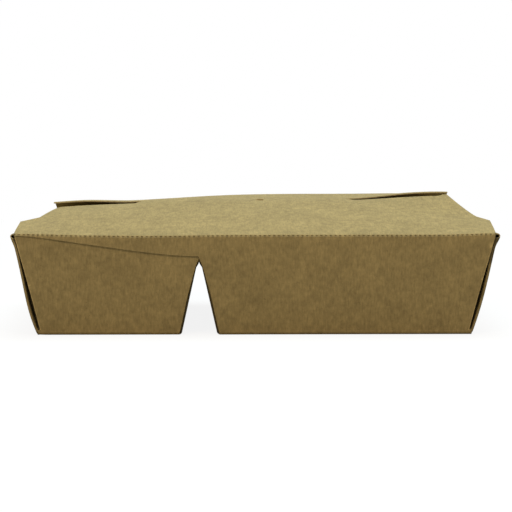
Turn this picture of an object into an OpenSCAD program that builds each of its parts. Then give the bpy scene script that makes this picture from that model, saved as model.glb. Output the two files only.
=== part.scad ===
// Closed takeaway box of kraft board with two compartments, folded and glued from one sheet.
// The box stands on its base: X runs from left to right, Y from front to back, Z is up.
// The origin is at the middle of the base.

/* [Box] */
// Width over the end walls at the rim
rim_w = 233; // [222:1:250]
// Depth over the front and back walls at the rim
rim_d = 150; // [140:1:170]
// Width of the base
base_w = 211; // [197:1:221]
// Depth of the base
base_d = 130; // [118:1:137]
// Height of the walls, from the table to the rim
wall_h = 49; // [43:1:60]

/* [Board] */
// Thickness of the board
board_t = 0.5; // [0.4:0.05:0.7]
// Inside radius of the folds
fold_r = 0.8; // [0.6:0.1:1.4]
// Depth by which a scored fold is pressed in on each face
score_d = 0.03; // [0.02:0.01:0.06]
// Depth by which two glued plies are pressed into each other
glue_bite = 0.04; // [0.02:0.01:0.08]

/* [Divider] */
// Middle of the folded divider, from the middle of the box
divider_x = -26.9; // [-45:0.1:-10]
// Height at which the divider's two walls would meet, were the fold between them not round
divider_h = 39.6; // [32:0.2:41]
// Width of the open channel under the divider, at the table
divider_w = 17.4; // [13:0.2:24]

/* [Front and back walls] */
// Distance from a corner to the cut edge of the outer ply
corner_inset = 1.6; // [1:0.1:2.5]
// Distance from the divider to the cut edges of the walls beside it
divider_inset = 0.9; // [0.5:0.1:1.5]
// Depth, at the box's corner, of the strip that runs over the smaller compartment
strip_end_h = 0.8; // [0.7:0.1:2]
// Length of the level stretch at each end of the strip's lower edge
strip_level = 20; // [10:1:30]
// Width of the glue flaps at the box's corners
glue_w = 17; // [10:0.5:24]
// Width of the glue flaps at the divider
divider_glue_w = 11; // [7:0.5:16]

/* [Lid] */
// Height by which the lid stands above the rim in the middle
lid_rise = 12.9; // [8:0.1:16]
// Height that the lid has lost at its left end
left_fall = 4.6; // [0:0.2:6]
// Height that the lid has lost at its right end
right_fall = 3.6; // [0:0.2:6]
// How steeply it loses that height towards the ends, where 1 is an even slope
fall_power = 2.5; // [1.5:0.1:4]
// Distance from a crease to the front flap's shoulders, and to where the back flap stops tapering
shoulder_l = 28; // [20:1:34]
// Distance from the crease to the front flap's waist
waist_l = 36; // [35:1:44]
// Width by which the front flap draws in at its left waist
left_waist_in = 8.6; // [4:0.2:12]
// Width by which the front flap draws in at its right waist
right_waist_in = 5; // [4:0.2:12]
// Width by which the front flap has drawn in at each free corner
tip_in = 15.6; // [12:0.2:24]
// Width by which the back flap tapers on each side
back_taper = 9; // [4:0.5:14]
// Width by which the back flap has drawn in at each free corner
ear_in = 12.8; // [9:0.2:20]
// Height by which the lid's right corners curl up
corner_curl = 5.2; // [0:0.2:8]
// Where the curl starts, right of the middle of the box
curl_x = 35; // [20:1:50]
// Width over which the curl rises
curl_w = 70; // [40:1:78]
// How steeply the front flap curls up past its waist, where 1 is straight
curl_power = 1.4; // [1:0.1:2]
// Distance from the front flap's free corners to the middle of the box
front_short = 10; // [6:0.5:14]
// Length by which the front flap's free edge is bowed
front_bow = 2.5; // [1:0.5:4]
// Length by which the front flap's tongue stands beyond its bowed edge
tongue_l = 22; // [12:1:28]
// Width of the tongue
tongue_w = 112; // [70:1:140]
// Middle of the tongue, from the middle of the box
tongue_x = -4; // [-10:0.5:10]
// Fullness of the tongue's outline, which is a sine curve at 1
tongue_round = 0.7; // [0.5:0.1:1]
// Height by which the tongue is bent down at its root, to pass under the back flap
tuck_h = 1.3; // [0.6:0.1:1.6]
// Width over which that bend fades towards each side of the tongue
tuck_w = 30; // [10:1:34]
// Length by which the back flap passes the middle of the box
lap_l = 6; // [4:0.5:10]
// Gap between the two flaps where the back one rests on the tongue
lid_gap = 0.2; // [0.15:0.05:0.4]
// Height by which the back flap's left ear stands above the front flap
left_ear_gap = 1.5; // [0.5:0.1:3]
// Height by which the back flap's right ear stands above the front flap
right_ear_gap = 0.9; // [0.5:0.1:3]
// Width over which the ears rise, from the sides of the tongue outwards
ear_w = 30; // [20:1:40]
// Bulge of the back flap behind the middle of the box
back_crown = 3.8; // [0:0.1:5]
// Top of the bulge, right of the middle of the box
crown_x = 42; // [0:1:50]
// Half width of the bulge
crown_half = 108; // [80:1:140]
// Length of the hidden end flaps
end_flap_l = 42; // [25:1:50]
// Width left free at each end of an end flap's crease
end_flap_corner = 4; // [3:0.5:12]
// Width by which an end flap narrows on each side
end_flap_taper = 14; // [6:1:24]
// Distance between the cuts of the front flap's perforated crease
cut_pitch = 2.25; // [2:0.05:3]
// Length of each of these cuts
cut_l = 1; // [0.8:0.1:1.2]
// Depth of the nick that each cut opens along the folded crease
cut_depth = 0.3; // [0.15:0.05:0.4]
// Gap between the back wall and the root of the back flap
hinge_gap = 0.2; // [0.16:0.02:0.3]

/* [Hidden] */

board_colour = [0.62, 0.52, 0.34];
lid_colour = [0.69, 0.63, 0.44];

// Facets in a fold
fold_steps = 5;
// Cells of a lid flap across its width
flap_cells = 28;
// Length by which a scored fold runs on inside the panels that it joins
fold_leg = 1;
// Length of floor that comes with a front or back wall, past its fold
floor_leg = 6;
// Distance from the rim to the tops of the glue flaps
hidden_top = 1.5;
// Distance from the rim to the tops of the tucked walls, behind the strip
tucked_top = 0.5;
// Slope of the glue flaps' ends
glue_taper = 0.35;
// Cells of a lid flap from its crease to the shoulder, and from the waist to its free corners
shoulder_cells = 4;
tip_cells = 4;
// Rows past the front flap's free corners, as shares of its length there: the tongue is bent down
// between the first two
tongue_rows = [0.07, 0.14, 1 / 3, 2 / 3, 1];
// Length over which a lid flap's slope is measured
slope_step = 0.5;
// Cells of the strip's lower edge
strip_steps = 8;
// How far the walls' outlines reach below the table, to take in the folds
below = -1;

fold_out_r = fold_r + board_t;
wall_out = (rim_d - base_d) / 2;
wall_lean = atan(wall_out / wall_h);
wall_normal = [0, -cos(wall_lean), -sin(wall_lean)];
// Depth of the ply behind the outer one, and of the one behind that
second_ply = board_t - glue_bite;
third_ply = 2 * second_ply;
// Depth, behind the outer faces, at which the long sheet of floors and end walls stops
trough_in = third_ply + fold_out_r;
// Half width of the flaps at the crease
crease_half = rim_w / 2 - corner_inset;
channel_left = divider_x - divider_w / 2;
channel_right = divider_x + divider_w / 2;
// Height of the channel's round top, and of the notch above it in the front and back walls
ridge_h = divider_h - fold_r * (1 / sin(atan(divider_w / 2 / divider_h)) - 1);
over_ridge = ridge_h + divider_inset;
// Heights at which the glue flaps end, at the box's corners and at the divider
corner_top = wall_h - hidden_top;
divider_top = ridge_h - hidden_top;
hinge_y = rim_d / 2 - board_t / 2;
hinge_drop = board_t / 2 + hinge_gap;
// Lengths of the lid flaps, from their creases
mid_l = rim_d / 2;
front_flap_l = mid_l - front_short;
back_flap_l = mid_l + lap_l;

function unit(v) = v / norm(v);
function left_of(v) = [-v[1], v[0]];
function turned(v, a) = [v[0] * cos(a) - v[1] * sin(a), v[0] * sin(a) + v[1] * cos(a)];
function reversed(list) = [for (i = [len(list) - 1 : -1 : 0]) list[i]];
function smooth(q) = let (c = min(1, max(0, q))) c * c * (3 - 2 * c);

// Fold at b on the path a-b-c, whose board lies to the left, shifted off to the left
function fold(a, b, c, off) =
    let (before = unit(b - a))
    let (after = unit(c - b))
    let (turn = atan2(before[0] * after[1] - before[1] * after[0], before * after))
    let (side = sign(turn))
    let (r = side > 0 ? fold_out_r : fold_r)
    let (centre = b - before * r * tan(abs(turn) / 2) + left_of(before) * side * r)
    [for (i = [0 : fold_steps])
        centre - turned(left_of(before), turn * i / fold_steps) * side * (r - side * off)];

// The path's points, with its corners folded, shifted off to the left
function folded_line(path, off) =
    let (last = len(path) - 1)
    concat(
        [path[0] + left_of(unit(path[1] - path[0])) * off],
        [for (i = [1 : 1 : last - 1]) for (p = fold(path[i - 1], path[i], path[i + 1], off)) p],
        [path[last] + left_of(unit(path[last] - path[last - 1])) * off]
    );

// Section of a board whose outer face follows the path
module folded_board(path) {
    polygon(concat(folded_line(path, 0), reversed(folded_line(path, board_t))));
}

// A shape drawn in X and Z, given a depth along Y about the middle
module along_y(depth) {
    rotate([90, 0, 0]) translate([0, 0, -depth / 2]) linear_extrude(depth) children();
}

// A shape drawn in Y and Z, given a width along X about the middle
module along_x(width) {
    rotate([90, 0, 90]) translate([0, 0, -width / 2]) linear_extrude(width) children();
}

module front_and_back() {
    children();
    mirror([0, 1, 0]) children();
}

// Outside of an end wall or divider wall at height z, for a wall that runs from base_x to top_x
function wall_x(base_x, top_x, top_z, z) = base_x + (top_x - base_x) * z / top_z;
function end_x(z) = wall_x(base_w / 2, rim_w / 2, wall_h, z);
function channel_left_x(z) = wall_x(channel_left, divider_x, divider_h, z);
function channel_right_x(z) = wall_x(channel_right, divider_x, divider_h, z);

// Section of the front wall's outer face, at a depth behind it, down to the table and along the floor
function wall_path(depth) =
    let (shift = depth / cos(wall_lean))
    [[shift - rim_d / 2, wall_h], [shift - base_d / 2, 0], [shift - base_d / 2 + floor_leg, 0]];

// The long sheet: end flap, end wall, floor, divider, floor, end wall, end flap
module trough() {
    top = rim_w / 2;
    foot = base_w / 2;
    shift = trough_in / cos(wall_lean);
    difference() {
        intersection() {
            along_y(rim_d) folded_board([
                [end_flap_l - top, wall_h], [-top, wall_h], [-foot, 0], [channel_left, 0],
                [divider_x, divider_h],
                [channel_right, 0], [foot, 0], [top, wall_h], [top - end_flap_l, wall_h]
            ]);
            along_x(rim_w) polygon([
                [shift - base_d / 2, 0], [base_d / 2 - shift, 0],
                [rim_d / 2 - shift, wall_h], [shift - rim_d / 2, wall_h]
            ]);
        }
        front_and_back() for (side = [-1, 1]) end_flap_cut(side);
    }
}

// What is cut away beside an end flap: the corner of the rim, and a slope along the flap's side
module end_flap_cut(side) {
    outside = side * (rim_w / 2 + 1);
    inside = side * (rim_w / 2 - fold_out_r);
    tip = side * (rim_w / 2 - end_flap_l - 1);
    corner = end_flap_corner - rim_d / 2;
    translate([0, 0, wall_h - hidden_top]) linear_extrude(hidden_top + 1) polygon([
        [outside, -rim_d / 2], [outside, corner], [inside, corner],
        [tip, corner + end_flap_taper], [tip, -rim_d / 2]
    ]);
}

// Scored fold from an end wall round to a glue flap at a depth behind the front wall's outer face.
// The wall faces right, and its outside runs from base_x at the table to top_x at top_z.
module corner_fold(base_x, top_x, top_z, depth, low, high) {
    lean = atan((top_x - base_x) / top_z);
    face = [cos(lean), 0, -sin(lean)];
    turn = acos(face * wall_normal);
    sideways = unit(wall_normal - (face * wall_normal) * face);
    down = cross(face, sideways);
    axis_x = base_x - fold_out_r / cos(lean);
    axis_y = (depth + fold_out_r) / cos(wall_lean) - base_d / 2;
    outer = fold_out_r - score_d;
    inner = fold_r + score_d;
    run_on = [-sin(turn), cos(turn)] * fold_leg;
    bend = concat(
        [[outer, -fold_leg]],
        [for (i = [0 : fold_steps]) outer * turned([1, 0], turn * i / fold_steps)],
        [outer * turned([1, 0], turn) + run_on, inner * turned([1, 0], turn) + run_on],
        [for (i = [fold_steps : -1 : 0]) inner * turned([1, 0], turn * i / fold_steps)],
        [[inner, -fold_leg]]
    );
    intersection() {
        multmatrix([
            [face[0], sideways[0], down[0], axis_x],
            [face[1], sideways[1], down[1], axis_y],
            [face[2], sideways[2], down[2], 0]
        ]) translate([0, 0, -2 * wall_h]) linear_extrude(4 * wall_h) polygon(bend);
        translate([-rim_w, -rim_d, low]) cube([2 * rim_w, 2 * rim_d, high - low]);
    }
}

// Glue flap behind the front wall, from the same corner fold inwards
module glue_flap(base_x, top_x, top_z, depth, width, low, high) {
    lean = atan((top_x - base_x) / top_z);
    set_in = fold_out_r / cos(lean);
    low_x = wall_x(base_x, top_x, top_z, low) - set_in;
    high_x = wall_x(base_x, top_x, top_z, high) - set_in;
    taper = width * glue_taper;
    face_line = wall_path(depth);
    intersection() {
        along_x(2 * rim_w) folded_board([face_line[0], face_line[1]]);
        along_y(2 * rim_d) polygon([
            [low_x, low], [high_x, high], [high_x - width, high - taper], [low_x - width, low + taper]
        ]);
    }
}

// One end of a compartment, front and back: its corner folds and its glue flaps, which end at high
module compartment_end(base_x, top_x, top_z, high, depth, width) {
    low = fold_out_r;
    front_and_back() {
        corner_fold(base_x, top_x, top_z, depth, low, high);
        glue_flap(base_x, top_x, top_z, depth, width, low, high);
    }
}

// A front wall of any outline, drawn in X and Z, at a depth behind the outer face
module wall_ply(depth, outline) {
    intersection() {
        along_x(2 * rim_w) folded_board(wall_path(depth));
        along_y(2 * rim_d) polygon(outline);
    }
}

// Point at q, from 0 to 1, on the curve from a to d that leaves towards b and arrives from c
function curve(a, b, c, d, q) =
    a * pow(1 - q, 3) + 3 * b * q * pow(1 - q, 2) + 3 * c * q * q * (1 - q) + d * pow(q, 3);

// Lower edge of the strip over the smaller compartment, from the box's corner to the divider
function strip_edge() =
    let (far = [corner_inset - end_x(wall_h), wall_h - strip_end_h])
    let (near = [divider_x, over_ridge])
    [for (i = [0 : strip_steps])
        curve(far, far + [strip_level, 0], near - [strip_level, 0], near, i / strip_steps)];

// Outer ply: the larger compartment's wall and the strip that runs on from it
module outer_wall() {
    wall_ply(0, concat(
        [
            [channel_right_x(0) + divider_inset, below], [end_x(0) - corner_inset, below],
            [end_x(0) - corner_inset, 0], [end_x(wall_h) - corner_inset, wall_h + 1],
            [corner_inset - end_x(wall_h), wall_h + 1]
        ],
        strip_edge(),
        [
            [channel_right_x(ridge_h) + divider_inset, ridge_h],
            [channel_right_x(0) + divider_inset, 0]
        ]
    ));
}

// Second ply: the smaller compartment's wall, whose top is tucked behind the strip
module tucked_wall() {
    top = wall_h - tucked_top;
    wall_ply(second_ply, [
        [corner_inset - end_x(0), below], [channel_left_x(0) - divider_inset, below],
        [channel_left_x(0) - divider_inset, 0], [divider_x - divider_inset, divider_h],
        [divider_x - divider_inset, top], [corner_inset - end_x(top), top],
        [corner_inset - end_x(0), 0]
    ]);
}

// Height of the lid above the rim at x, at the middle of the box
function lid_height(x) =
    lid_rise - (x < 0 ? left_fall : right_fall) * pow(abs(x) / crease_half, fall_power);

// Half width of the front flap at a length s from its crease, on the side with this waist
function flap_half(s, waist_in) =
    s < shoulder_l ? crease_half :
    s < waist_l ? crease_half - waist_in * (s - shoulder_l) / (waist_l - shoulder_l) :
    crease_half - waist_in - (tip_in - waist_in) * min(1, (s - waist_l) / (front_flap_l - waist_l));

// Half width of the back flap at a length s from its crease
function back_half(s) =
    s < shoulder_l ? crease_half - back_taper * s / shoulder_l :
    crease_half - back_taper
    - (ear_in - back_taper) * (s - shoulder_l) / (back_flap_l - shoulder_l);

// Length of the front flap at x past its free corners: its bow, and the tongue
function front_reach(x) =
    front_bow * (1 - abs(x) / crease_half)
    + tongue_l * pow(max(0, cos(min(90, 180 * abs(x - tongue_x) / tongue_w))), tongue_round);

// Arch of the lid from a crease to the middle of the box, from 0 to 1
function arch(s) = sin(90 * s / mid_l);

// Curl of both flaps' right corners at x
function curl(x) = corner_curl * smooth((x - curl_x) / curl_w);

// Height of the ears above the front flap at x, from the sides of the tongue outwards
function ear_lift(x) =
    (x < tongue_x ? left_ear_gap : right_ear_gap) * smooth((abs(x - tongue_x) - tongue_w / 2) / ear_w);

// Share of the front flap past its waist that a length s from the crease reaches, up to 1
function past_waist(s) = min(1, max(0, s - waist_l) / (front_flap_l - waist_l));

// Height of the front flap above an even arch: it rises towards the tongue's root, then drops
function tuck(x, s) =
    let (share = (s - front_flap_l) / front_reach(x))
    let (drop = smooth((share - tongue_rows[0]) / (tongue_rows[1] - tongue_rows[0])))
    tuck_h * smooth((tongue_w / 2 - abs(x - tongue_x)) / tuck_w) * smooth(past_waist(s)) * (1 - drop);

// Middle of the board on the front flap
function front_flap_z(x, s) =
    wall_h + lid_height(x) * arch(s) + curl(x) * pow(past_waist(s), curl_power) + tuck(x, s);

// Height of the back flap's bulge at x, half way from its crease to the middle of the box
function crown(x) = back_crown * max(0, 1 - pow((x - crown_x) / crown_half, 2));

// Middle of the board on the back flap, s from its own crease
function back_flap_z(x, s) =
    wall_h + (lid_height(x) + board_t + lid_gap) * arch(s)
    + crown(x) * pow(sin(180 * min(1, s / mid_l)), 2)
    + (curl(x) + ear_lift(x)) * pow(min(1, s / mid_l), 2);

// Lengths from the crease of a flap's rows, up to the front flap's free corners
flap_rows = concat(
    [for (i = [0 : shoulder_cells]) shoulder_l * i / shoulder_cells],
    [for (i = [0 : tip_cells]) waist_l + (front_flap_l - waist_l) * i / tip_cells]
);

// A sheet through a grid of [point, normal] rows, half the board's thickness on each side
module sheet(grid, thick) {
    rows = len(grid);
    cols = len(grid[0]);
    count = rows * cols;
    points = concat(
        [for (row = grid) for (cell = row) cell[0] + cell[1] * thick / 2],
        [for (row = grid) for (cell = row) cell[0] - cell[1] * thick / 2]
    );
    upper = [for (j = [0 : rows - 2]) for (i = [0 : cols - 2])
        for (t = [[j * cols + i, (j + 1) * cols + i, (j + 1) * cols + i + 1],
                  [j * cols + i, (j + 1) * cols + i + 1, j * cols + i + 1]]) t];
    lower = [for (t = upper) [t[0] + count, t[2] + count, t[1] + count]];
    rim = concat(
        [for (i = [0 : cols - 1]) i],
        [for (j = [1 : rows - 1]) j * cols + cols - 1],
        [for (i = [cols - 2 : -1 : 0]) (rows - 1) * cols + i],
        [for (j = [rows - 2 : -1 : 1]) j * cols]
    );
    edge = [for (k = [0 : len(rim) - 1])
        let (a = rim[k])
        let (b = rim[(k + 1) % len(rim)])
        for (t = [[a, b, b + count], [a, b + count, a + count]]) t];
    polyhedron(points = points, faces = concat(upper, lower, edge));
}

// Slope of each flap at x, at a length s from its crease
function front_slope(x, s) = atan2(front_flap_z(x, s + slope_step) - front_flap_z(x, s), slope_step);
function back_slope(x, s) = atan2(back_flap_z(x, s + slope_step) - back_flap_z(x, s), slope_step);

// A sheet's cell on the front flap, u from -1 at its left edge to 1 at its right edge,
// at a length from the crease that past the corners is a share of what is left of the flap
function front_cell(u, length, share) =
    let (x = u * flap_half(length, u < 0 ? left_waist_in : right_waist_in))
    let (s = length + front_reach(x) * share)
    let (slope = front_slope(x, s))
    let (outward = s > 0 ? [0, -sin(slope), cos(slope)]
                         : mitre(wall_normal, [0, -sin(slope), cos(slope)]))
    [[x, -hinge_y + s, front_flap_z(x, s)], outward];

// Direction of a sharp crease between two faces, as long as keeps the board's thickness
function mitre(a, b) = unit(a + b) / (unit(a + b) * a);

function back_cell(u, s) =
    let (x = u * back_half(s))
    let (slope = back_slope(x, s))
    [[x, hinge_y - s, back_flap_z(x, s)], [0, sin(slope), cos(slope)]];

// Places across a flap, from its left edge to its right edge
function across() = [for (i = [0 : flap_cells]) 2 * i / flap_cells - 1];

// The front flap, from inside the top of the outer ply to its free edge
module front_flap() {
    root = [0, -hinge_y, wall_h] + 2 * fold_leg * [0, sin(wall_lean), -cos(wall_lean)];
    scored = 1 - 2 * score_d / board_t;
    sheet(concat(
        [[for (u = across()) [root + [u * (crease_half - score_d), 0, 0], wall_normal * scored]]],
        [for (s = flap_rows) [for (u = across()) front_cell(u, s, 0)]],
        [for (share = tongue_rows) [for (u = across()) front_cell(u, front_flap_l, share)]]
    ), board_t);
}

// The nicks of the perforation along the front crease, an even number of pitches from end to end
module perforation() {
    last = floor(crease_half / cut_pitch - 0.5);
    for (i = [-last : last])
        translate([i * cut_pitch, -rim_d / 2, wall_h + board_t / 2]) rotate([45, 0, 0])
            cube([cut_l, cut_depth * sqrt(2), cut_depth * sqrt(2)], center = true);
}

// The folded sheet, with its front flap and the end flaps that the lid hides
module tray() {
    color(board_colour) difference() {
        union() {
            trough();
            front_and_back() {
                outer_wall();
                tucked_wall();
            }
            compartment_end(base_w / 2, rim_w / 2, wall_h, corner_top, second_ply, glue_w);
            compartment_end(channel_left, divider_x, divider_h, divider_top, third_ply, divider_glue_w);
            mirror([1, 0, 0]) {
                compartment_end(base_w / 2, rim_w / 2, wall_h, corner_top, third_ply, glue_w);
                compartment_end(
                    -channel_right, -divider_x, divider_h, divider_top, second_ply, divider_glue_w
                );
            }
        }
        hinge_relief();
        perforation();
    }
    color(lid_colour) difference() {
        front_flap();
        perforation();
    }
}

// Room for the root of the back flap along the top of the back wall
module hinge_relief() {
    translate([-rim_w, rim_d / 2 - 2 * hidden_top, wall_h - hinge_drop])
        cube([2 * rim_w, 3 * hidden_top, 2 * hidden_top]);
}

// The back lid flap, which lies on the front one and turns about the crease on the back wall
module back_flap() {
    lengths = concat(flap_rows, [mid_l, back_flap_l]);
    color(lid_colour)
        sheet([for (s = reversed(lengths)) [for (u = across()) back_cell(u, s)]], board_t);
}

tray();
back_flap();
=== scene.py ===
"""Closed takeaway box of kraft board with two compartments, drawn as the folded sheet that it is.

Each panel is an outline on the flat sheet, in millimetres. It is filled with triangles, folded
into place by a function, and given the board's thickness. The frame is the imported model.
"""
import math

import bmesh
import bpy
import numpy as np
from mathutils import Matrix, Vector
from mathutils.geometry import delaunay_2d_cdt


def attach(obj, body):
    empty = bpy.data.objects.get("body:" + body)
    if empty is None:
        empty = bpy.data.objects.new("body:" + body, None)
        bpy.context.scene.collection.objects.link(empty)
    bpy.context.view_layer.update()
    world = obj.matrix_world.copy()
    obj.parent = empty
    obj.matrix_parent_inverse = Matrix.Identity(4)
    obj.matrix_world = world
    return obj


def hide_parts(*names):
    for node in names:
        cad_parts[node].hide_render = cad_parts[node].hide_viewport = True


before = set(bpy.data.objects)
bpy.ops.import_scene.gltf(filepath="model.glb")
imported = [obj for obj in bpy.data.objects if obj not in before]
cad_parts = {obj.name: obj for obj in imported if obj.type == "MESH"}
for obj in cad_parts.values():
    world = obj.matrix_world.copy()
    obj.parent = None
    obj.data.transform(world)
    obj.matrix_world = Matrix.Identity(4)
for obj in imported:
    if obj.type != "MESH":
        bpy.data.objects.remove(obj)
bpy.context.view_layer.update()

MM = 0.001

# Sizes of the box, in millimetres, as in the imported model
RIM_W = 233.0
RIM_D = 150.0
BASE_W = 211.0
BASE_D = 130.0
WALL_H = 49.0
BOARD = 0.5
FOLD_IN = 0.8
FOLD_OUT = FOLD_IN + BOARD
FOLD_MID = FOLD_IN + BOARD / 2
DIVIDER_X = -26.9
DIVIDER_H = 39.6
DIVIDER_W = 17.4
RIDGE_H = DIVIDER_H - FOLD_IN * (1 / math.sin(math.atan(DIVIDER_W / 2 / DIVIDER_H)) - 1)
SECOND_PLY = 0.46
THIRD_PLY = 0.92

# The glue flaps and the tucked wall: how far they end below the top, widths, slope of the ends
HIDDEN_TOP = 1.5
TUCKED_TOP = 0.5
GLUE_W = 17.0
DIVIDER_GLUE_W = 11.0
GLUE_TAPER = 0.35

# What rises from a start over a width is given as that pair.
# The gap behind a ply's edge: in and out past a corner's fold, and up from its foot
GROOVE_IN, GROOVE_OUT, GROOVE_FOOT = (-0.22, 0.36), (2.2, 4.0), (1.0, 4.0)
# The length over which it ends at its top, and the divider's gap: size, top and that length
END_GROOVE_FADE = 7.0
DIVIDER_GROOVE = (1.6, RIDGE_H - 3, 8.0)

# The heights at which the end walls flare, below the rim
FLARE_AT = (42.0, 6.0)

# The cut edges of the outer plies: their inset from the corners, and their toes at the table
CORNER_INSET = 1.6
DIVIDER_INSET = 0.9
TOE_H = 1.6
TOE_OUT = 0.7

# The painted highlight beside a cut edge, a pale line where the edge catches the light, which ends
# short of the rim's corner
HIGHLIGHT_W = 0.42
HIGHLIGHT_STEP = 1.5
HIGHLIGHT_TOP_IN, HIGHLIGHT_TOP_DOWN = 1.2, 6.0

# The strip over the smaller compartment: its lower edge, and how that edge is lifted
STRIP_START_DOWN = 0.8
STRIP_END_IN = 0.5
STRIP_END_Z = 39.1
STRIP_LEVEL = 20.0
STRIP_POINTS = 30
STRIP_LIFT = 0.3
STRIP_LIFT_H = 5.0
LIFT_SIDE = (-5.0, 6.0)
LIFT_LEAD = 3.0

# The plies' edges beside the divider: height, and how far they stand off the channel there
NOTCH_EDGE = [(5.0, 1.1), (20.0, 1.2), (29.0, 0.75), (34.4, 0.4)]
# The notch's tip: half width, and height above the ridge
NOTCH_TIP = [(0.75, -0.4), (0.42, 0.4), (0.12, 1.1)]
NOTCH_TIP_Z = 38.1
# The divider's ridge, pinched to a sharp fold: by which share, at which heights, how far sideways
PINCH = 0.75
PINCH_AT, PINCH_END = (33.2, 3.0), (1.5, 1.5)

# The lid's arch. FALLS, TUCK_HALVES and EAR_GAPS are pairs of left and right.
LID_RISE = 12.9
FALLS = (4.6, 3.6)
FALL_POWER = 2.5
CORNER_CURL = 5.2
CURL_AT = (35.0, 70.0)
CURL_POWER = 1.4

# The front lid flap's outline and its tongue
SHOULDER = 28.0
WAIST = 36.0
LEFT_WAIST_IN = 8.6
RIGHT_WAIST_IN = 4.2
RIGHT_SHOULDER_OUT = 1.4
TIP_IN = 15.6
TIP_POINTS = 110
CORNER_RISE = 1.0
CORNER_RISE_W = 5.0
FRONT_SHORT = 10.0
FRONT_BOW = 2.5
TONGUE_L = 22.0
TONGUE_W = 112.0
TONGUE_X = -4.0
TONGUE_ROUND = 0.7

# How the front flap stands up at the tongue's root, and drops past it, in shares of its length
TUCK_H = 1.3
TUCK_HALVES = (60.0, 58.0)
TUCK_W = 10.0
TUCK_DROP = (0.07, 0.07)
# Where it stands lower and leaves a short dark opening: by which share, from where over what width
DASH_X = 5.0
DASH_STEPS = [(0.25, -14.0, 4.0), (0.65, -4.5, 2.0)]
DASH_END = (0.0, 1.2)

# The back lid flap
BACK_TAPER = 9.0
LEFT_EAR_IN = 12.4
RIGHT_EAR_IN = 14.6
EAR_GAPS = (1.5, 0.9)
EAR_W = 30.0
LAP = 6.0
LID_GAP = 0.2
BACK_CROWN = 3.8
CROWN_X = 42.0
CROWN_HALF = 108.0

# The end flaps, hidden under the lid
END_FLAP_L = 42.0
END_FLAP_CORNER = 2.4
END_FLAP_TAPER = 14.0

# The front rim's unevenness: it rises at its left and right end, and dips between them
RIM_RISE, RIM_LEFT, RIM_RIGHT = 0.65, (80.0, 34.0), (88.0, 26.0)
RIM_DIP, RIM_DIP_X, RIM_DIP_W = 0.42, -50.0, 26.0
RIM_AT = (47.0, 24.0)

# The board's slight waviness: each wave's height, its length over two pi, and its phase
WALL_WAVE = (0.28, 31.0, 0.6)
WALL_RIPPLE = (0.16, 13.5, 2.1)
END_WAVE = (0.22, 21.0, 1.0)
LID_WAVE = (0.18, 24.0, 0.8)
LID_RIPPLE = (0.1, 11.0, 0.0)
# How the ripples slant, and where the waves begin
WALL_SLANT, LID_SLANT = 29.0, 17.0
WALL_WAVE_AT, END_WAVE_AT, LID_WAVE_AT = (40.0, 20.0), (85.0, 15.0), (0.0, 30.0)

# The perforated creases: the roundness of the fold, and the pitch and share of the cuts
CREASE_R = 0.55
BRIDGE_R = 0.8
TOOTH = 2.25
TOOTH_CUT = 0.45
TOOTH_SOFT = 0.25
TOOTH_POINTS = 8
# Depth of a cut, its direction in and down, and its reach each way from the crease
NOTCH = 0.6
NOTCH_IN, NOTCH_DOWN = 0.75, 0.65
CUT_EDGE = 1.6
CUT_UP, CUT_DOWN = 0.7, 1.1
TEETH_ZONE = 3.0

# Steps between points, from flat board to the sharpest ends
FLOOR_STEP, FLAT, WIDE, MEDIUM, SHORT, FINE, FINEST = 8.0, 3.0, 2.0, 1.0, 0.5, 0.3, 0.15
FOLD_STEP = 0.55

# Least distances of the points inside a panel from its outline
FLAT_GAP, END_GAP, BEND_GAP, TEETH_GAP, HIGHLIGHT_GAP = 0.9, 0.4, 0.2, 0.12, 0.6 * HIGHLIGHT_W

# Lengths down a ply between which its floor joins the panels beside it
JOIN_LOW, JOIN_HIGH = 60.0, 170.0
ON_LINE = 1e-4
WELD = 0.02
SHARP_ANGLE = math.radians(50)

WALL_OUT = (RIM_D - BASE_D) / 2
WALL_LEAN = math.atan(WALL_OUT / WALL_H)
WALL_NORMAL = np.array([0.0, -math.cos(WALL_LEAN), -math.sin(WALL_LEAN)])
TROUGH_IN = (THIRD_PLY + FOLD_OUT) / math.cos(WALL_LEAN)
HINGE_Y = RIM_D / 2 - BOARD / 2
MID = RIM_D / 2
FRONT_FLAP = MID - FRONT_SHORT
BACK_FLAP = MID + LAP
CREASE_HALF = RIM_W / 2 - CORNER_INSET
CHANNEL_LEFT = DIVIDER_X - DIVIDER_W / 2
CHANNEL_RIGHT = DIVIDER_X + DIVIDER_W / 2


def place_object(name, data):
    """A new object in the scene."""
    made = bpy.data.objects.new(name, data)
    bpy.context.scene.collection.objects.link(made)
    return made


def unit(vector):
    """The vector at a length of 1."""
    return np.asarray(vector, float) / np.linalg.norm(vector)


def left_of(vector):
    """The vector turned a quarter to its left."""
    return np.array([-vector[1], vector[0]])


def smooth(share):
    """An even rise from 0 to 1, level at both ends."""
    share = np.clip(share, 0.0, 1.0)
    return share * share * (3 - 2 * share)


def rise(value, start, width):
    """0 up to the start, 1 from a width past it on, and an even rise between."""
    return smooth((value - start) / width)


def wave(along, height, length, phase, slant=0.0):
    """One wave of the board along a distance."""
    return height * np.sin(along / length + phase + slant)


def end_x(z):
    """How far the corner of an end wall stands from the middle at a height."""
    return BASE_W / 2 + (RIM_W - BASE_W) / 2 * z / WALL_H


def path_trim(turn):
    """Length of a straight that a fold takes up, on the face that the path follows."""
    radius = FOLD_OUT if turn > 0 else FOLD_IN
    return radius * math.tan(abs(turn) / 2)


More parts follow.
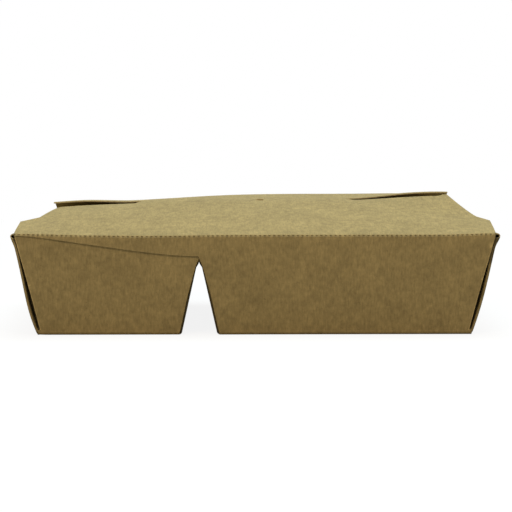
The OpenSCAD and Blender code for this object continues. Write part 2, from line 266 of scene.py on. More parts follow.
def folded_path(corners):
    """Straight and round parts of a board whose outer face follows the corners, and its length."""
    corners = [np.asarray(c, float) for c in corners]
    parts = []
    length = 0.0
    at = corners[0]
    for a, b, c in zip(corners, corners[1:], corners[2:] + [None]):
        along = unit(b - a)
        if c is None:
            parts.append((length, at, along, 0.0))
            length += np.linalg.norm(b - at)
            break
        after = unit(c - b)
        turn = math.atan2(along[0] * after[1] - along[1] * after[0], along @ after)
        trim = path_trim(turn)
        end = b - along * trim
        parts.append((length, at, along, 0.0))
        length += (end - at) @ along
        parts.append((length, end, along, turn))
        length += FOLD_MID * abs(turn)
        at = b + after * trim
    return parts, length


def on_path(path, s):
    """Points on the middle of the board, at lengths s along a folded path."""
    parts, _ = path
    starts = np.array([p[0] for p in parts])
    which = np.clip(np.searchsorted(starts, s, side="right") - 1, 0, len(parts) - 1)
    out = np.zeros((len(s), 2))
    for k, (start, at, along, turn) in enumerate(parts):
        here = which == k
        t = (s[here] - start)[:, None]
        inward = left_of(along)
        if turn == 0.0:
            out[here] = at + along * t + inward * BOARD / 2
            continue
        side = math.copysign(1.0, turn)
        face_r = FOLD_OUT if side > 0 else FOLD_IN
        centre = at + inward * side * face_r
        angle = t * side / FOLD_MID
        radial = inward * np.cos(angle) + left_of(inward) * np.sin(angle)
        out[here] = centre - radial * side * FOLD_MID
    return out


def run(a, b, step):
    """Points from a towards b, without b."""
    a, b = np.asarray(a, float), np.asarray(b, float)
    count = max(1, int(math.ceil(np.linalg.norm(b - a) / step - 1e-6)))
    return [a + (b - a) * i / count for i in range(count)]


def outline_of(corners):
    """Closed outline from (u, v, step to the next corner) rows."""
    points = []
    for here, there in zip(corners, corners[1:] + corners[:1]):
        points += run(here[:2], there[:2], here[2])
    return np.array(points)


def grid(u_low, u_high, u_step, v_values):
    """Points in rows at the given v, evenly spaced along u."""
    u = np.arange(u_low, u_high, u_step)
    uu, vv = np.meshgrid(u, np.asarray(v_values, float))
    return np.column_stack([uu.ravel(), vv.ravel()])


def clear_of(points, outline, gap):
    """The points that lie further than their gap from the outline."""
    a = outline
    b = np.roll(outline, -1, axis=0)
    ab = b - a
    length2 = np.maximum((ab * ab).sum(1), 1e-9)
    keep = np.ones(len(points), bool)
    batch = 2000
    for start in range(0, len(points), batch):
        some = points[start:start + batch]
        share = np.clip(((some[:, None] - a) * ab).sum(2) / length2, 0, 1)
        nearest = a + share[..., None] * ab
        away = np.sqrt(((some[:, None] - nearest) ** 2).sum(2)).min(1)
        keep[start:start + batch] = away > gap
    return points[keep]


def near_line(uv, a, b):
    """1 on the line from a to b, fading to 0 at the width of the painted highlight beside a cut edge.
    """
    a, b = np.asarray(a, float), np.asarray(b, float)
    along = b - a
    share = np.clip((uv - a) @ along / (along @ along), 0, 1)
    return smooth(1 - np.linalg.norm(uv - a - share[:, None] * along, axis=1) / HIGHLIGHT_W)


def beside_line(a, b, off):
    """Points beside the line from a to b, which bound the painted highlight beside it."""
    a, b = np.asarray(a, float), np.asarray(b, float)
    return np.array(run(a, b, HIGHLIGHT_STEP)) + off * left_of(unit(b - a))


class Board:
    """The triangles of one or more folded panels, gathered into a single mesh."""

    def __init__(self):
        self.points = []
        self.faces = []
        self.edge_faces = []
        self.creases = []
        self.edge_highlight = []
        self.count = 0

    def panel(self, outline, fill, place, mirror_x=False, open_edge=None, crease=None, cut_edge=None):
        """Adds a panel, filled with triangles and folded into place.

        open_edge says which outline points lie on a line that joins another panel, crease gives the
        marks of folds and cuts, and cut_edge is a line beside which a pale highlight is painted.
        """
        corners = len(outline)
        given = np.vstack([outline, fill])
        edges = [(i, (i + 1) % corners) for i in range(corners)]
        verts, _, faces, *_ = delaunay_2d_cdt([Vector(p) for p in given], edges, [], 1, 1e-5)
        uv = np.array([v[:] for v in verts])
        tri = np.array([f[:] for f in faces])
        used, tri = np.unique(tri, return_inverse=True)
        uv, tri = uv[used], tri.reshape(-1, 3)
        middle, normal = surface(place, uv)
        a, b, c = middle[tri[:, 0]], middle[tri[:, 1]], middle[tri[:, 2]]
        facing = (np.cross(b - a, c - a) * normal[tri[:, 0]]).sum(1)
        if np.median(facing) < 0:
            tri = tri[:, ::-1]
        points = np.vstack([middle + normal * BOARD / 2, middle - normal * BOARD / 2])
        count = len(uv)
        sides = [side for p, q, r in tri.tolist() for side in ((p, q), (q, r), (r, p))]
        known = set(sides)
        rim = [(i, j) for (i, j) in sides if (j, i) not in known]
        if open_edge is not None:
            on_join = open_edge(uv)
            rim = [(i, j) for (i, j) in rim if not (on_join[i] and on_join[j])]
        both_faces = np.vstack([tri, tri[:, ::-1] + count])
        rim_faces = np.array(
            [(i, i + count, j + count) for (i, j) in rim] + [(i, j + count, j) for (i, j) in rim], int
        ).reshape(-1, 3)
        if mirror_x:
            points = points * np.array([-1.0, 1.0, 1.0])
            both_faces = both_faces[:, ::-1]
            rim_faces = rim_faces[:, ::-1]
        self.points.append(points)
        self.faces.append(both_faces + self.count)
        self.edge_faces.append(rim_faces + self.count)
        marks = crease(uv) if crease is not None else np.zeros(count)
        self.creases.append(np.tile(marks, 2))
        # Painted highlight: a pale band beside the cut edge, where the edge catches the light
        edge_highlight = near_line(uv, *cut_edge) if cut_edge is not None else np.zeros(count)
        self.edge_highlight.append(np.tile(edge_highlight, 2))
        self.count += 2 * count

    def build(self, name, materials):
        """One object of all the panels, with the cut edges in the second material."""
        points = np.vstack(self.points) * MM
        faces = np.vstack(self.faces)
        rim = np.vstack(self.edge_faces)
        mesh = bpy.data.meshes.new(name)
        mesh.from_pydata(points.tolist(), [], np.vstack([faces, rim]).tolist())
        for material in materials:
            mesh.materials.append(material)
        slots = np.concatenate([np.zeros(len(faces), np.int32), np.ones(len(rim), np.int32)])
        mesh.polygons.foreach_set("material_index", slots)
        mesh.polygons.foreach_set("use_smooth", np.ones(len(slots), bool))
        for kind, values in (("crease", self.creases), ("edge_highlight", self.edge_highlight)):
            attribute = mesh.attributes.new(kind, "FLOAT", "POINT")
            attribute.data.foreach_set("value", np.concatenate(values).astype(np.float32))
        mesh.validate()
        close_joins(mesh)
        mesh.set_sharp_from_angle(angle=SHARP_ANGLE)
        return place_object(name, mesh)


def close_joins(mesh):
    """Merges the points of two panels that meet on a joint line."""
    welded = bmesh.new()
    welded.from_mesh(mesh)
    edge_points = [v for v in welded.verts if v.is_boundary]
    bmesh.ops.remove_doubles(welded, verts=edge_points, dist=WELD * MM)
    welded.to_mesh(mesh)
    welded.free()


def surface(place, uv):
    """Middle of the board and its outward normal at places on the flat sheet."""
    nudge = 0.02
    middle = place(uv)
    along_u = place(uv + [nudge, 0]) - place(uv - [nudge, 0])
    along_v = place(uv + [0, nudge]) - place(uv - [0, nudge])
    normal = np.cross(along_u, along_v)
    return middle, normal / np.linalg.norm(normal, axis=1)[:, None]


def waves(points):
    """The points with the board's slight waviness and the uneven front rim."""
    x, y, z = points.T
    out = points.copy()
    height = np.clip(z / WALL_H, 0, 1)
    up = np.sin(np.pi * height)
    sway = wave(x, *WALL_WAVE) + wave(x, *WALL_RIPPLE, z / WALL_SLANT)
    out[:, 1] += np.sign(y) * sway * up * rise(np.abs(y), *WALL_WAVE_AT)
    out[:, 0] += np.sign(x) * wave(y, *END_WAVE) * up * rise(np.abs(x), *END_WAVE_AT)
    out[:, 2] += front_rise(x) * rise(-y, *RIM_AT) * height
    return out


def front_rise(x):
    """How far the front crease stands above the rim."""
    ends = rise(-x, *RIM_LEFT) + rise(x, *RIM_RIGHT)
    return RIM_RISE * ends - RIM_DIP * np.exp(-((x - RIM_DIP_X) / RIM_DIP_W) ** 2)


# The lid's form

def lid_height(x):
    """Height of the lid's middle above the rim."""
    fall = np.where(x < 0, *FALLS)
    return LID_RISE - fall * (np.abs(x) / CREASE_HALF) ** FALL_POWER


def curl(x):
    """How far the right part of the lid curls up."""
    return CORNER_CURL * rise(x, *CURL_AT)


def arch(s):
    """Share of the lid's height at a length s from a crease."""
    return np.sin(np.pi / 2 * s / MID)


def flap_half(s, waist_in, shoulder_out=0.0):
    """Half width of the front lid flap at a length s from its crease, on one side."""
    stations = [0, SHOULDER, WAIST, FRONT_FLAP]
    halves = [CREASE_HALF, CREASE_HALF + shoulder_out, CREASE_HALF - waist_in, CREASE_HALF - TIP_IN]
    return np.interp(s, stations, halves)


def back_half(s, ear_in):
    """Half width of the back lid flap at a length s from its crease, on one side."""
    return np.interp(s, [0, SHOULDER, BACK_FLAP],
                     [CREASE_HALF, CREASE_HALF - BACK_TAPER, CREASE_HALF - ear_in])


def front_reach(x):
    """Length of the front lid flap past its free corners."""
    swing = np.minimum(np.pi / 2, np.pi * np.abs(x - TONGUE_X) / TONGUE_W)
    tongue = TONGUE_L * np.maximum(0, np.cos(swing)) ** TONGUE_ROUND
    return FRONT_BOW * (1 - np.abs(x) / CREASE_HALF) + tongue


def ear_lift(x):
    """How far the back flap's ears stand off the front flap."""
    gap = np.where(x < TONGUE_X, *EAR_GAPS)
    return gap * rise(np.abs(x - TONGUE_X), TONGUE_W / 2, EAR_W)


def past_waist(s):
    """Share of the front flap past its waist that a length s reaches."""
    return np.clip((s - WAIST) / (FRONT_FLAP - WAIST), 0, 1)


def tuck(x, s):
    """How far the front flap stands above an even arch at the tongue's root."""
    reached = (s - FRONT_FLAP) / np.maximum(front_reach(x), 0.01)
    drop = rise(reached, *TUCK_DROP)
    half = np.where(x < TONGUE_X, *TUCK_HALVES)
    width = smooth((half - np.abs(x - TONGUE_X)) / TUCK_W)
    dash = sum(share * rise(x - DASH_X, *along) for share, *along in DASH_STEPS)
    dash = dash * (1 - rise(x - DASH_X, *DASH_END))
    return TUCK_H * width * (1 - dash) * smooth(past_waist(s)) * (1 - drop)


def lid_waves(x, s):
    """Slight unevenness of a lid flap, none at its crease."""
    return (wave(x, *LID_WAVE) + wave(x, *LID_RIPPLE, s / LID_SLANT)) * rise(s, *LID_WAVE_AT)


def corner_rise(x, s):
    """How far the front flap's right corner turns up towards the back flap's ear."""
    from_corner = x - CREASE_HALF + TIP_IN
    return CORNER_RISE * rise(from_corner, -CORNER_RISE_W, CORNER_RISE_W) * past_waist(s) ** 2


def front_flap_z(x, s):
    """Height of the front flap's middle, s from its crease."""
    curled = curl(x) * past_waist(s) ** CURL_POWER + corner_rise(x, s)
    return WALL_H + lid_height(x) * arch(s) + curled + tuck(x, s) + lid_waves(x, s)


def back_flap_z(x, s):
    """Height of the back flap's middle, s from its own crease."""
    over = (lid_height(x) + BOARD + LID_GAP) * arch(s)
    crown = BACK_CROWN * np.maximum(0, 1 - ((x - CROWN_X) / CROWN_HALF) ** 2)
    crown = crown * np.sin(np.pi * np.minimum(1, s / MID)) ** 2
    lifted = (curl(x) + ear_lift(x)) * np.minimum(1, s / MID) ** 2
    return WALL_H + over + crown + lifted + lid_waves(x, s)


# Outer ply: front lid flap, front wall, floor of the larger compartment and back wall

def wall_corners(depth):
    """Front wall, floor and back wall of a ply in Y and Z, a depth inside the outer ply."""
    shift = depth / math.cos(WALL_LEAN)
    rim, foot = RIM_D / 2 - shift, BASE_D / 2 - shift
    return [(-rim, WALL_H), (-foot, 0), (foot, 0), (rim, WALL_H)]


OUTER = folded_path(wall_corners(0))
TUCKED = folded_path(wall_corners(SECOND_PLY))


def wall_v(z):
    """Length from the front crease down to a height."""
    return (WALL_H - z) / math.cos(WALL_LEAN)


def floor_v(path, y):
    """Length from the front crease to a place on the floor."""
    start, at, _, _ = path[0][2]
    return start + y - at[0]


def tooth_mask(x):
    """1 in the cut parts of the perforation, 0 in its bridges."""
    phase = np.abs((x / TOOTH) % 1 - 0.5) * 2
    return smooth((phase - (1 - TOOTH_CUT)) / TOOTH_SOFT + 0.5)


def cut_band(x, v, reach):
    """1 in the cuts of the perforation, fading to 0 at a share of the crease's radius from it."""
    return tooth_mask(x) * smooth(CUT_EDGE - np.abs(v) / (CREASE_R * reach))


def place_outer(uv):
    """The outer ply in place: its lid flap over the rim, its walls and its floor."""
    x, v = uv[:, 0], uv[:, 1]
    yz = on_path(OUTER, np.maximum(v, 0))
    lid = v < 0
    yz[lid, 0] = -HINGE_Y - v[lid]
    yz[lid, 1] = front_flap_z(x[lid], -v[lid])
    radius = CREASE_R + BRIDGE_R * (1 - tooth_mask(x))
    near = np.abs(v) < radius
    if near.any():
        radius = radius[near]
        share = ((v[near] + radius) / (2 * radius))[:, None]
        lid_side = np.column_stack([radius - HINGE_Y, front_flap_z(x[near], radius)])
        wall_side = on_path(OUTER, radius)
        knee = np.array([-HINGE_Y, WALL_H])
        yz[near] = (1 - share) ** 2 * lid_side + 2 * share * (1 - share) * knee + share ** 2 * wall_side
    yz += strip_lift(x, v)[:, None] * WALL_NORMAL[1:]
    cut = NOTCH * cut_band(x, v, CUT_UP)
    yz[:, 0] += cut * NOTCH_IN
    yz[:, 1] -= cut * NOTCH_DOWN
    return waves(np.column_stack([x, yz]))


def strip_edge():
    """Lower edge of the strip, from the box's corner to the divider."""
    start = np.array([-CREASE_HALF, WALL_H - STRIP_START_DOWN])
    end = np.array([DIVIDER_X - STRIP_END_IN, STRIP_END_Z])
    start_pull = start + [STRIP_LEVEL, 0]
    end_pull = end - [STRIP_LEVEL, 0]
    share = np.arange(STRIP_POINTS)[:, None] / STRIP_POINTS
    rest = 1 - share
    return (start * rest ** 3 + 3 * start_pull * share * rest ** 2
            + 3 * end_pull * share * share * rest + end * share ** 3)


STRIP = strip_edge()


def strip_lift(x, v):
    """How far the strip's lower edge stands off the wall that is tucked behind it."""
    edge = wall_v(np.interp(x, STRIP[:, 0], STRIP[:, 1]))
    from_rim = np.minimum(v, OUTER[1] - v)
    above = np.abs(edge - from_rim)
    side = rise(DIVIDER_X - x, *LIFT_SIDE) * smooth(from_rim / LIFT_LEAD)
    return STRIP_LIFT * side * smooth(1 - above / STRIP_LIFT_H) * (v > 0)


def channel_x(foot, z):
    """The open channel's side at a height, from the X of its foot."""
    return foot + (DIVIDER_X - foot) * z / DIVIDER_H


END_TURN = math.pi / 2 - math.atan((RIM_W - BASE_W) / 2 / WALL_H)
END_JOIN = BASE_W / 2 - path_trim(END_TURN)
DIVIDER_TURN = math.pi / 2 - math.atan(DIVIDER_W / 2 / DIVIDER_H)
DIVIDER_TRIM = path_trim(DIVIDER_TURN)
JOIN_Y = BASE_D / 2 - TROUGH_IN


def turned(side):
    """The rows of a side, gone through the other way round."""
    steps = [step for _, _, step in reversed(side)][1:] + [FLAT]
    return [(u, v, step) for (u, v, _), step in zip(reversed(side), steps)]


def at_back(rows, total):
    """The rows of a ply's front half, at the same places of its back half."""
    return [(x, total - v, step) for x, v, step in rows]


def notch_side(foot, side):
    """A ply's edge beside the divider, from the notch's tip down, on the side -1 or 1."""
    tip = [(DIVIDER_X + side * half, wall_v(RIDGE_H + up), SHORT) for half, up in reversed(NOTCH_TIP)]
    edge = [(channel_x(foot, z) + side * off, wall_v(z), MEDIUM) for z, off in reversed(NOTCH_EDGE)]
    return tip + edge


def outer_outline():
    """The outer ply on the flat sheet, from the back strip's left end on round."""
    total = OUTER[1]
    foot = OUTER[0][1][0]
    floor_start = OUTER[0][2][0]
    join = floor_v(OUTER, -JOIN_Y)
    right_foot = end_x(0) - CORNER_INSET
    right_toe = END_JOIN + TOE_OUT
    left_join = CHANNEL_RIGHT + DIVIDER_TRIM
    left_foot = CHANNEL_RIGHT + DIVIDER_INSET
    edge = [(x, wall_v(z), FLAT) for x, z in STRIP]
    edge += [(DIVIDER_X - STRIP_END_IN, wall_v(STRIP_END_Z), SHORT),
             (DIVIDER_X, wall_v(NOTCH_TIP_Z), SHORT)]
    edge += notch_side(CHANNEL_RIGHT, 1)
    floor = [(left_foot, foot, FINE), (left_foot, floor_start, FLAT), (left_foot, join, FLAT),
             (left_join, join, FLAT)]
    left = [(-CREASE_HALF, total, SHORT)] + at_back(edge + floor, total) + turned(floor)[:-1]
    left += [(left_foot, foot, MEDIUM)] + edge[::-1] + [(-CREASE_HALF, CREASE_R / 2, FINEST)]
    side = [(right_foot, foot - TOE_H, SHORT), (right_toe, foot - TOE_H / 2, FINE),
            (right_toe, floor_start, FLAT), (right_toe, join, FLAT), (END_JOIN, join, FLAT)]
    right = [(CREASE_HALF, 0, FINEST), (CREASE_HALF, CREASE_R, FLAT)] + side
    right += at_back(turned(side), total) + [(CREASE_HALF, total, FLAT)]
    return outline_of(left + lid_outline() + right)


def lid_outline():
    """The front lid flap, from the left end of the crease round to the right end."""
    rows = [(-flap_half(s, LEFT_WAIST_IN), -s, FLAT) for s in (0, SHOULDER, WAIST, FRONT_FLAP)]
    across = np.linspace(TIP_IN - CREASE_HALF, CREASE_HALF - TIP_IN, TIP_POINTS)
    rows += [(x, -FRONT_FLAP - front_reach(x), FLAT) for x in across[1:-1]]
    rows += [(flap_half(s, RIGHT_WAIST_IN, RIGHT_SHOULDER_OUT), -s, FLAT)
             for s in (FRONT_FLAP, WAIST, SHOULDER)]
    return rows


def fold_rows(path):
    """Lengths along a path where its folds need a row of points."""
    rows = []
    for start, _, _, turn in path[0]:
        if turn:
            bend = FOLD_MID * abs(turn)
            rows += list(start + bend * np.linspace(0, 1, 7))
            rows += [start - 2 * FOLD_STEP, start - FOLD_STEP, start + bend + FOLD_STEP]
    return rows


def flat_rows(low, high, step=FLAT):
    """Lengths between two others where flat board needs a row of points."""
    count = max(2, int(round((high - low) / step)))
    return list(np.linspace(low, high, count + 1)[1:-1])


# Rows of points beside the perforated crease, in its radius, and past the tongue's root
TEETH_ROWS = np.array([-2.2, -1.4, -1, -0.6, -0.25, 0.1, 0.45, 0.8, 1.2, 1.8])
ROOT_ROWS = np.arange(0.15, 4.5, 0.35)
ROOT_STEP = 1.2
LID_START, WALL_START = 2.0, 1.6


def outer_fill():
    """Points inside the outer ply: the coarse ones, and the fine ones at the cuts and the tongue."""
    parts, total = OUTER
    wall = flat_rows(WALL_START, parts[1][0])
    floor = flat_rows(parts[2][0], parts[3][0], FLOOR_STEP)
    back = flat_rows(parts[4][0], total)
    lid = [-v for v in flat_rows(LID_START, FRONT_FLAP + TONGUE_L)]
    coarse = grid(-RIM_W / 2, RIM_W / 2, FLAT, wall + floor + back + lid + fold_rows(OUTER))
    teeth = grid(-CREASE_HALF, CREASE_HALF, TOOTH / TOOTH_POINTS, TEETH_ROWS * CREASE_R)
    root = grid(TONGUE_X - TONGUE_W / 2, TONGUE_X + TONGUE_W / 2, ROOT_STEP, -FRONT_FLAP - ROOT_ROWS)
    return coarse, np.vstack([teeth, root])


MARK_W = 1.2


def crease_marks(path, teeth=False):
    """Marks of the folds along a path: up to 1 on a fold, which is painted with shade and paler beside
    it where pressed, and -1 in the cuts, painted with the shade of the open slits.
    """
    folds = [(start, start + FOLD_MID * abs(turn)) for start, _, _, turn in path[0] if turn]

    def marks(uv):
        v = uv[:, 1]
        out = np.zeros(len(v))
        for low, high in folds:
            out = np.maximum(out, smooth(1 - np.maximum(low - v, v - high) / MARK_W))
        if teeth:
            # Painted shade in the cuts of the perforation, where the open slits are dark
            cut = cut_band(uv[:, 0], v, np.where(v > 0, CUT_DOWN, CUT_UP))
            out = np.where(np.abs(v) < TEETH_ZONE, -cut, out)
        return out

    return marks


def on_sides(*sides):
    """Says which outline points lie on the floor's sides, where another panel joins it."""

    def joined(uv):
        at_side = np.min([np.abs(uv[:, 0] - x) for x in sides], axis=0) < ON_LINE
        return at_side & (uv[:, 1] > JOIN_LOW) & (uv[:, 1] < JOIN_HIGH)

    return joined


def add_outer(board):
    """The outer ply with the front lid flap."""
    outline = outer_outline()
    coarse, fine = outer_fill()
    foot = OUTER[0][1][0]
    # The cut edge, beside which a pale highlight is painted
    edge = ((end_x(0) - CORNER_INSET, foot - TOE_H),
            (CREASE_HALF - HIGHLIGHT_TOP_IN, wall_v(WALL_H - HIGHLIGHT_TOP_DOWN)))
    fill = np.vstack([clear_of(coarse, outline, FLAT_GAP), clear_of(fine, outline, TEETH_GAP),
                      clear_of(beside_line(*edge, -HIGHLIGHT_W), outline, HIGHLIGHT_GAP)])
    board.panel(outline, fill, place_outer, open_edge=on_sides(END_JOIN, CHANNEL_RIGHT + DIVIDER_TRIM),
                crease=crease_marks(OUTER, True), cut_edge=edge)


# Tucked ply: front wall, floor and back wall of the smaller compartment

def place_tucked(uv):
    """The tucked ply in place."""
    return waves(np.column_stack([uv[:, 0], on_path(TUCKED, uv[:, 1])]))


def add_tucked(board):
    """The ply of the smaller compartment, tucked behind the outer ply's strip."""
    parts, total = TUCKED
    foot, floor_start = parts[1][0], parts[2][0]
    join = floor_v(TUCKED, -JOIN_Y)
    top_z = WALL_H - TUCKED_TOP
    top = wall_v(top_z)
    left_top = CORNER_INSET - end_x(top_z)
    left_foot = CORNER_INSET - end_x(0)
    left_toe = -END_JOIN - TOE_OUT
    right_foot = CHANNEL_LEFT - DIVIDER_INSET
    right_join = CHANNEL_LEFT - DIVIDER_TRIM
    front = [
        (-END_JOIN, join, FLAT), (left_toe, join, FLAT), (left_toe, floor_start, FINE),
        (left_toe, foot - TOE_H / 2, SHORT), (left_foot, foot - TOE_H, FLAT), (left_top, top, FLAT),
        (DIVIDER_X - DIVIDER_INSET, top, FLAT), (DIVIDER_X - DIVIDER_INSET, wall_v(DIVIDER_H), MEDIUM),
    ]
    front += notch_side(CHANNEL_LEFT, -1)
    front += [(right_foot, foot, FINE), (right_foot, floor_start, FLAT), (right_foot, join, FLAT),
              (right_join, join, FLAT)]
    outline = outline_of(front + at_back(turned(front), total))
    rows = flat_rows(top, foot) + flat_rows(floor_start, parts[3][0], FLOOR_STEP)
    rows += flat_rows(parts[4][0], total - top) + fold_rows(TUCKED)
    # The cut edge, beside which a pale highlight is painted
    edge = ((left_foot, foot - TOE_H), (left_top, top))
    fill = np.vstack([clear_of(grid(-RIM_W / 2, DIVIDER_X, FLAT, rows), outline, FLAT_GAP),
                      clear_of(beside_line(*edge, HIGHLIGHT_W), outline, HIGHLIGHT_GAP)])
    board.panel(outline, fill, place_tucked, open_edge=on_sides(-END_JOIN, right_join),
                crease=crease_marks(TUCKED), cut_edge=edge)


# Walls with glue flaps: the end walls and the divider

class Corner:
    """The fold from a wall that faces right round to its glue flap behind the front wall."""

    def __init__(self, path, wall_start, base_x, top_x, top_z, depth, width):
        self.wall_start = wall_start
        x, z = on_path(path, np.array([wall_start]))[0]
        self.origin = np.array([x, 0, z])
        self.lean = math.atan((top_x - base_x) / top_z)
        self.face = np.array([math.cos(self.lean), 0, -math.sin(self.lean)])
        self.slope = np.array([math.sin(self.lean), 0, math.cos(self.lean)])
        self.turn = math.acos(self.face @ WALL_NORMAL)
        self.sideways = unit(WALL_NORMAL - (self.face @ WALL_NORMAL) * self.face)
        self.up = -np.cross(self.face, self.sideways)
        self.up /= self.up[2]
        axis_y = (depth + FOLD_OUT) / math.cos(WALL_LEAN) - BASE_D / 2
        axis = np.array([base_x - FOLD_OUT / math.cos(self.lean), axis_y, 0])
        self.start = axis + FOLD_MID * self.face
        self.reach = FOLD_MID * self.turn + width

    def fold(self, points, groove):
        """Points of the flat wall, bent round the corner where they lie beyond it.

        groove is the gap behind the ply's edge: its size, its top and the length it ends over.
        """
        past = (points - self.start) @ self.sideways
        beyond = past > 0
        if not beyond.any():
            return points
        flat, past = points[beyond], past[beyond][:, None]
        foot = flat - past * self.sideways
        angle = np.minimum(past / FOLD_MID, self.turn)
        after = past - FOLD_MID * self.turn
        onward = self.sideways * math.cos(self.turn) - self.face * math.sin(self.turn)
        bent = foot - FOLD_MID * self.face \
            + FOLD_MID * (self.face * np.cos(angle) + self.sideways * np.sin(angle)) \
            + np.maximum(0, after) * onward
        dip = rise(after, *GROOVE_IN) * (1 - rise(after, *GROOVE_OUT))
        bent -= WALL_NORMAL * dip * groove_depth(foot[:, 2], *groove)[:, None]
        out = points.copy()
        out[beyond] = bent
        return out

    def unfolded(self, z, past):
        """(u, v) on the flat panel of the point at height z of the fold and past it by a length."""
        point = self.start + self.up * (z - self.start[2]) + self.sideways * past
        return point[1], self.wall_start + (point - self.origin) @ self.slope


def place_wall(path, walls, groove):
    """Folding function of a panel with u along Y and v along a path in X and Z.

    Each wall is its start, its end, its corner, and the X about which it is mirrored if it faces left.
    """

    def place(uv):
        y, v = uv[:, 0], uv[:, 1]
        xz = on_path(path, v)
        sign = np.where(y < 0, 1.0, -1.0)
        points = np.column_stack([xz[:, 0], y * sign, xz[:, 1]])
        for low, high, corner, axis in walls:
            chosen = (v > low - NEAR) & (v < high + NEAR)
            part = points[chosen]
            if axis is not None:
                part[:, 0] = 2 * axis - part[:, 0]
            part = corner.fold(part, groove)
            if axis is not None:
                part[:, 0] = 2 * axis - part[:, 0]
            points[chosen] = part
        points[:, 1] *= sign
        return points

    return place


def edge_y(z):
    """Half depth of an end wall or the divider at a height."""
    return BASE_D / 2 + WALL_OUT * z / WALL_H - TROUGH_IN


def flap_points(corner, low, high):
    """Corners of the front glue flap of a wall on the flat panel, from low to high."""
    taper = (corner.reach - FOLD_MID * corner.turn) * GLUE_TAPER
    rows = [(low, 0), (low + taper, corner.reach), (high - taper, corner.reach), (high, 0)]
    return [corner.unfolded(z, past) for z, past in rows]


def both_sides(side):
    """Closed outline of a panel that is alike front and back, from the rows of its front."""
    return outline_of(side + [(-u, v, step) for u, v, step in turned(side)])


def groove_depth(z, size, top, fade):
    """Depth of the gap behind a ply's edge at a height."""
    return size * smooth((top - z) / fade) * rise(z, *GROOVE_FOOT)


# Painted shade in the dark insides of gaps: past a corner's fold, along it near the rim, and beside the
# channel
GAP_SHADE, TOP_SHADE, CHANNEL_SHADE = (-0.12, 0.14), (-0.3, 0.5), (-0.3, 0.6)
TOP_SHADE_Z = (33.0, 3.0)
# Height of an outline's corner above the floor's fold, and reach of the filling points
FOOT_Z = 0.3
END_SPARE, DIVIDER_SPARE = 20.0, 14.0
END_CREASE_STEP = 0.4
NEAR = 1e-6


def add_end(board, depth, bow_size, bow_power, flare, groove_size, groove_top, top_shade, mirror_x):
    """An end wall with its glue flaps and end flap, on the right or mirrored to the left."""
    top_x = RIM_W / 2
    path = folded_path([(END_JOIN, 0), (BASE_W / 2, 0), (top_x, WALL_H), (top_x - END_FLAP_L, WALL_H)])
    parts, total = path
    wall_start, crease_start, crease_end = parts[2][0], parts[3][0], parts[4][0]
    corner = Corner(path, wall_start, BASE_W / 2, top_x, WALL_H, depth, GLUE_W)
    flap = flap_points(corner, FOLD_OUT, WALL_H - HIDDEN_TOP)
    groove = (groove_size, groove_top, END_GROOVE_FADE)
    bare = place_wall(path, [(wall_start, crease_start, corner, None)], groove)

    def place(uv):
        points = bare(uv)
        z = points[:, 2]
        belly = bow_size * np.sin(np.pi * np.clip(1 - z / WALL_H, 0, 1) ** bow_power)
        points[:, 0] += belly + flare * rise(z, *FLARE_AT)
        return waves(points)

    half_crease = RIM_D / 2 - END_FLAP_CORNER
    top_v = flap[-1][1]
    side = [(-JOIN_Y, 0, FINE), (-edge_y(FOOT_Z), wall_start, SHORT)]
    side += [(u, v, step) for (u, v), step in zip(flap, (SHORT, WIDE, SHORT, WIDE))]
    side += [(-half_crease, top_v, END_CREASE_STEP), (-half_crease, crease_start, FINE),
             (-half_crease, crease_end, FLAT), (-half_crease + END_FLAP_TAPER, total, FLAT)]
    outline = both_sides(side)
    rows = fold_rows(path) + flat_rows(wall_start, crease_start) + flat_rows(crease_end, total)
    flat = grid(-RIM_D / 2 - END_SPARE, RIM_D / 2 + END_SPARE, FLAT, rows)
    bends = corner_lines(corner, top_v)
    fill = np.vstack([clear_of(flat, outline, END_GAP), clear_of(bends, outline, BEND_GAP)])
    fold_marks = crease_marks(path)

    # Painted shade: in the gap past the corner's fold, and, by the share top_shade, on the fold near
    # the rim
    def marks(uv):
        z = corner.origin[2] + (uv[:, 1] - wall_start) * math.cos(corner.lean)
        past = np.abs(uv[:, 0]) + corner.start[1] - WALL_OUT / WALL_H * (z - corner.start[2])
        on_wall = (uv[:, 1] > wall_start) & (uv[:, 1] < crease_start)
        gap = rise(past - FOLD_MID * corner.turn, *GAP_SHADE)
        fold_top = rise(past, *TOP_SHADE) * rise(z, *TOP_SHADE_Z)
        shaded = np.maximum(gap, top_shade * fold_top) * on_wall
        return fold_marks(uv) * (1 - shaded) - 2 * shaded

    board.panel(outline, fill, place, mirror_x=mirror_x, open_edge=lambda uv: uv[:, 1] < NEAR,
                crease=marks)


# Distances past a corner's fold of the lines of points beside it
CLOSE_LINES = (-0.1, 0.02, 0.14, 0.36, 0.7, 1.2, 1.7)
WIDE_LINES = (2.2, 3, 3.8, 4.6, 5.4, 6.2, 8)
WIDE_LINE_STEP = 1.5


def corner_lines(corner, high_v):
    """Points along a corner's fold, front and back, close enough to bend smoothly."""
    bend = FOLD_MID * corner.turn
    close = list(bend * np.arange(0, 7) / 7) + [bend + past for past in CLOSE_LINES]
    wide = [bend + past for past in WIDE_LINES]
    out = []
    for lines, step in ((close, SHORT), (wide, WIDE_LINE_STEP)):
        for past in lines:
            for z in np.arange(step, WALL_H, step):
                u, v = corner.unfolded(z, past)
                if corner.wall_start < v < high_v:
                    out += [(u, v), (-u, v)]
    return np.array(out)


